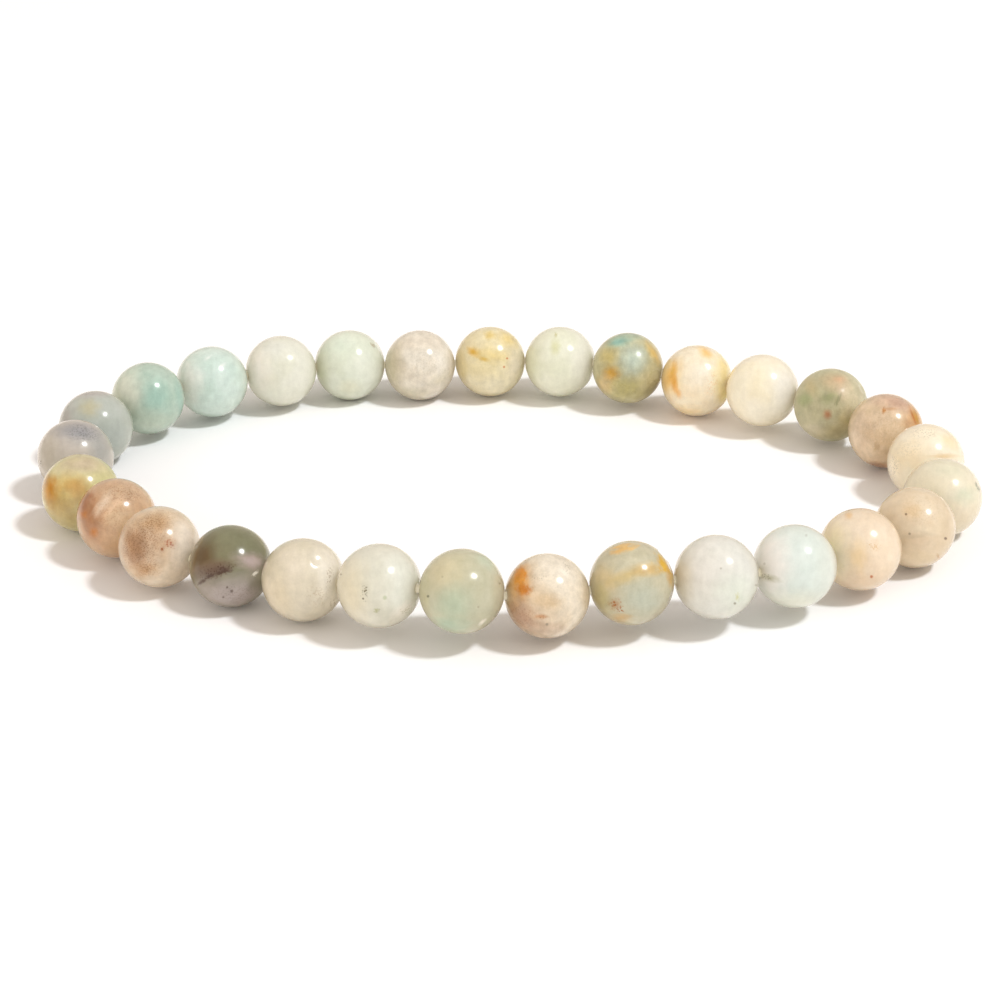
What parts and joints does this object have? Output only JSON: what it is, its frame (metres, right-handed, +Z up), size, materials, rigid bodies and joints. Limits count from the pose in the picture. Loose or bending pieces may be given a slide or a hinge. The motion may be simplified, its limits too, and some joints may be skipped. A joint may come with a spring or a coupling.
{
  "type": "beaded bracelet",
  "caption": "Stretch bracelet of round polished stone beads in mixed pale greens, creams, peach and tan on a hidden elastic thread, resting as a wavy oval loop.",
  "frame": {"origin": "middle of the bracelet's footprint, on the surface that the lowest beads touch", "axes": "+X along the oval, to the right in the picture; +Y across it, away from the viewer; +Z up"},
  "size_m": [0.0738, 0.0486, 0.0072],
  "materials": {
    "stone_peach": "polished",
    "stone_sand": "polished",
    "stone_tan": "polished",
    "stone_cream": "polished",
    "stone_milk": "polished",
    "stone_ice": "polished",
    "stone_mint": "polished",
    "stone_sage": "polished",
    "stone_aqua": "polished",
    "stone_honey": "polished",
    "stone_slate": "polished",
    "stone_moss": "polished",
    "elastic_clear": "smooth, translucent"
  },
  "bodies": {
    "root": {"bead_01": "stone_peach", "bead_02": "stone_sage", "bead_03": "stone_milk", "bead_04": "stone_ice", "bead_05": "stone_sand", "bead_06": "stone_sand", "bead_07": "stone_mint", "bead_08": "stone_cream", "bead_09": "stone_tan", "bead_10": "stone_sage", "bead_11": "stone_cream", "bead_12": "stone_peach", "bead_13": "stone_sage", "bead_14": "stone_mint", "bead_15": "stone_honey", "bead_16": "stone_cream", "bead_17": "stone_mint", "bead_18": "stone_milk", "bead_19": "stone_aqua", "bead_20": "stone_aqua", "bead_21": "stone_slate", "bead_22": "stone_slate", "bead_23": "stone_honey", "bead_24": "stone_tan", "bead_25": "stone_tan", "bead_26": "stone_moss", "bead_27": "stone_cream", "bead_28": "stone_mint", "bead_29": "stone_sage", "elastic_thread": "elastic_clear"}
  },
  "joints": []
}
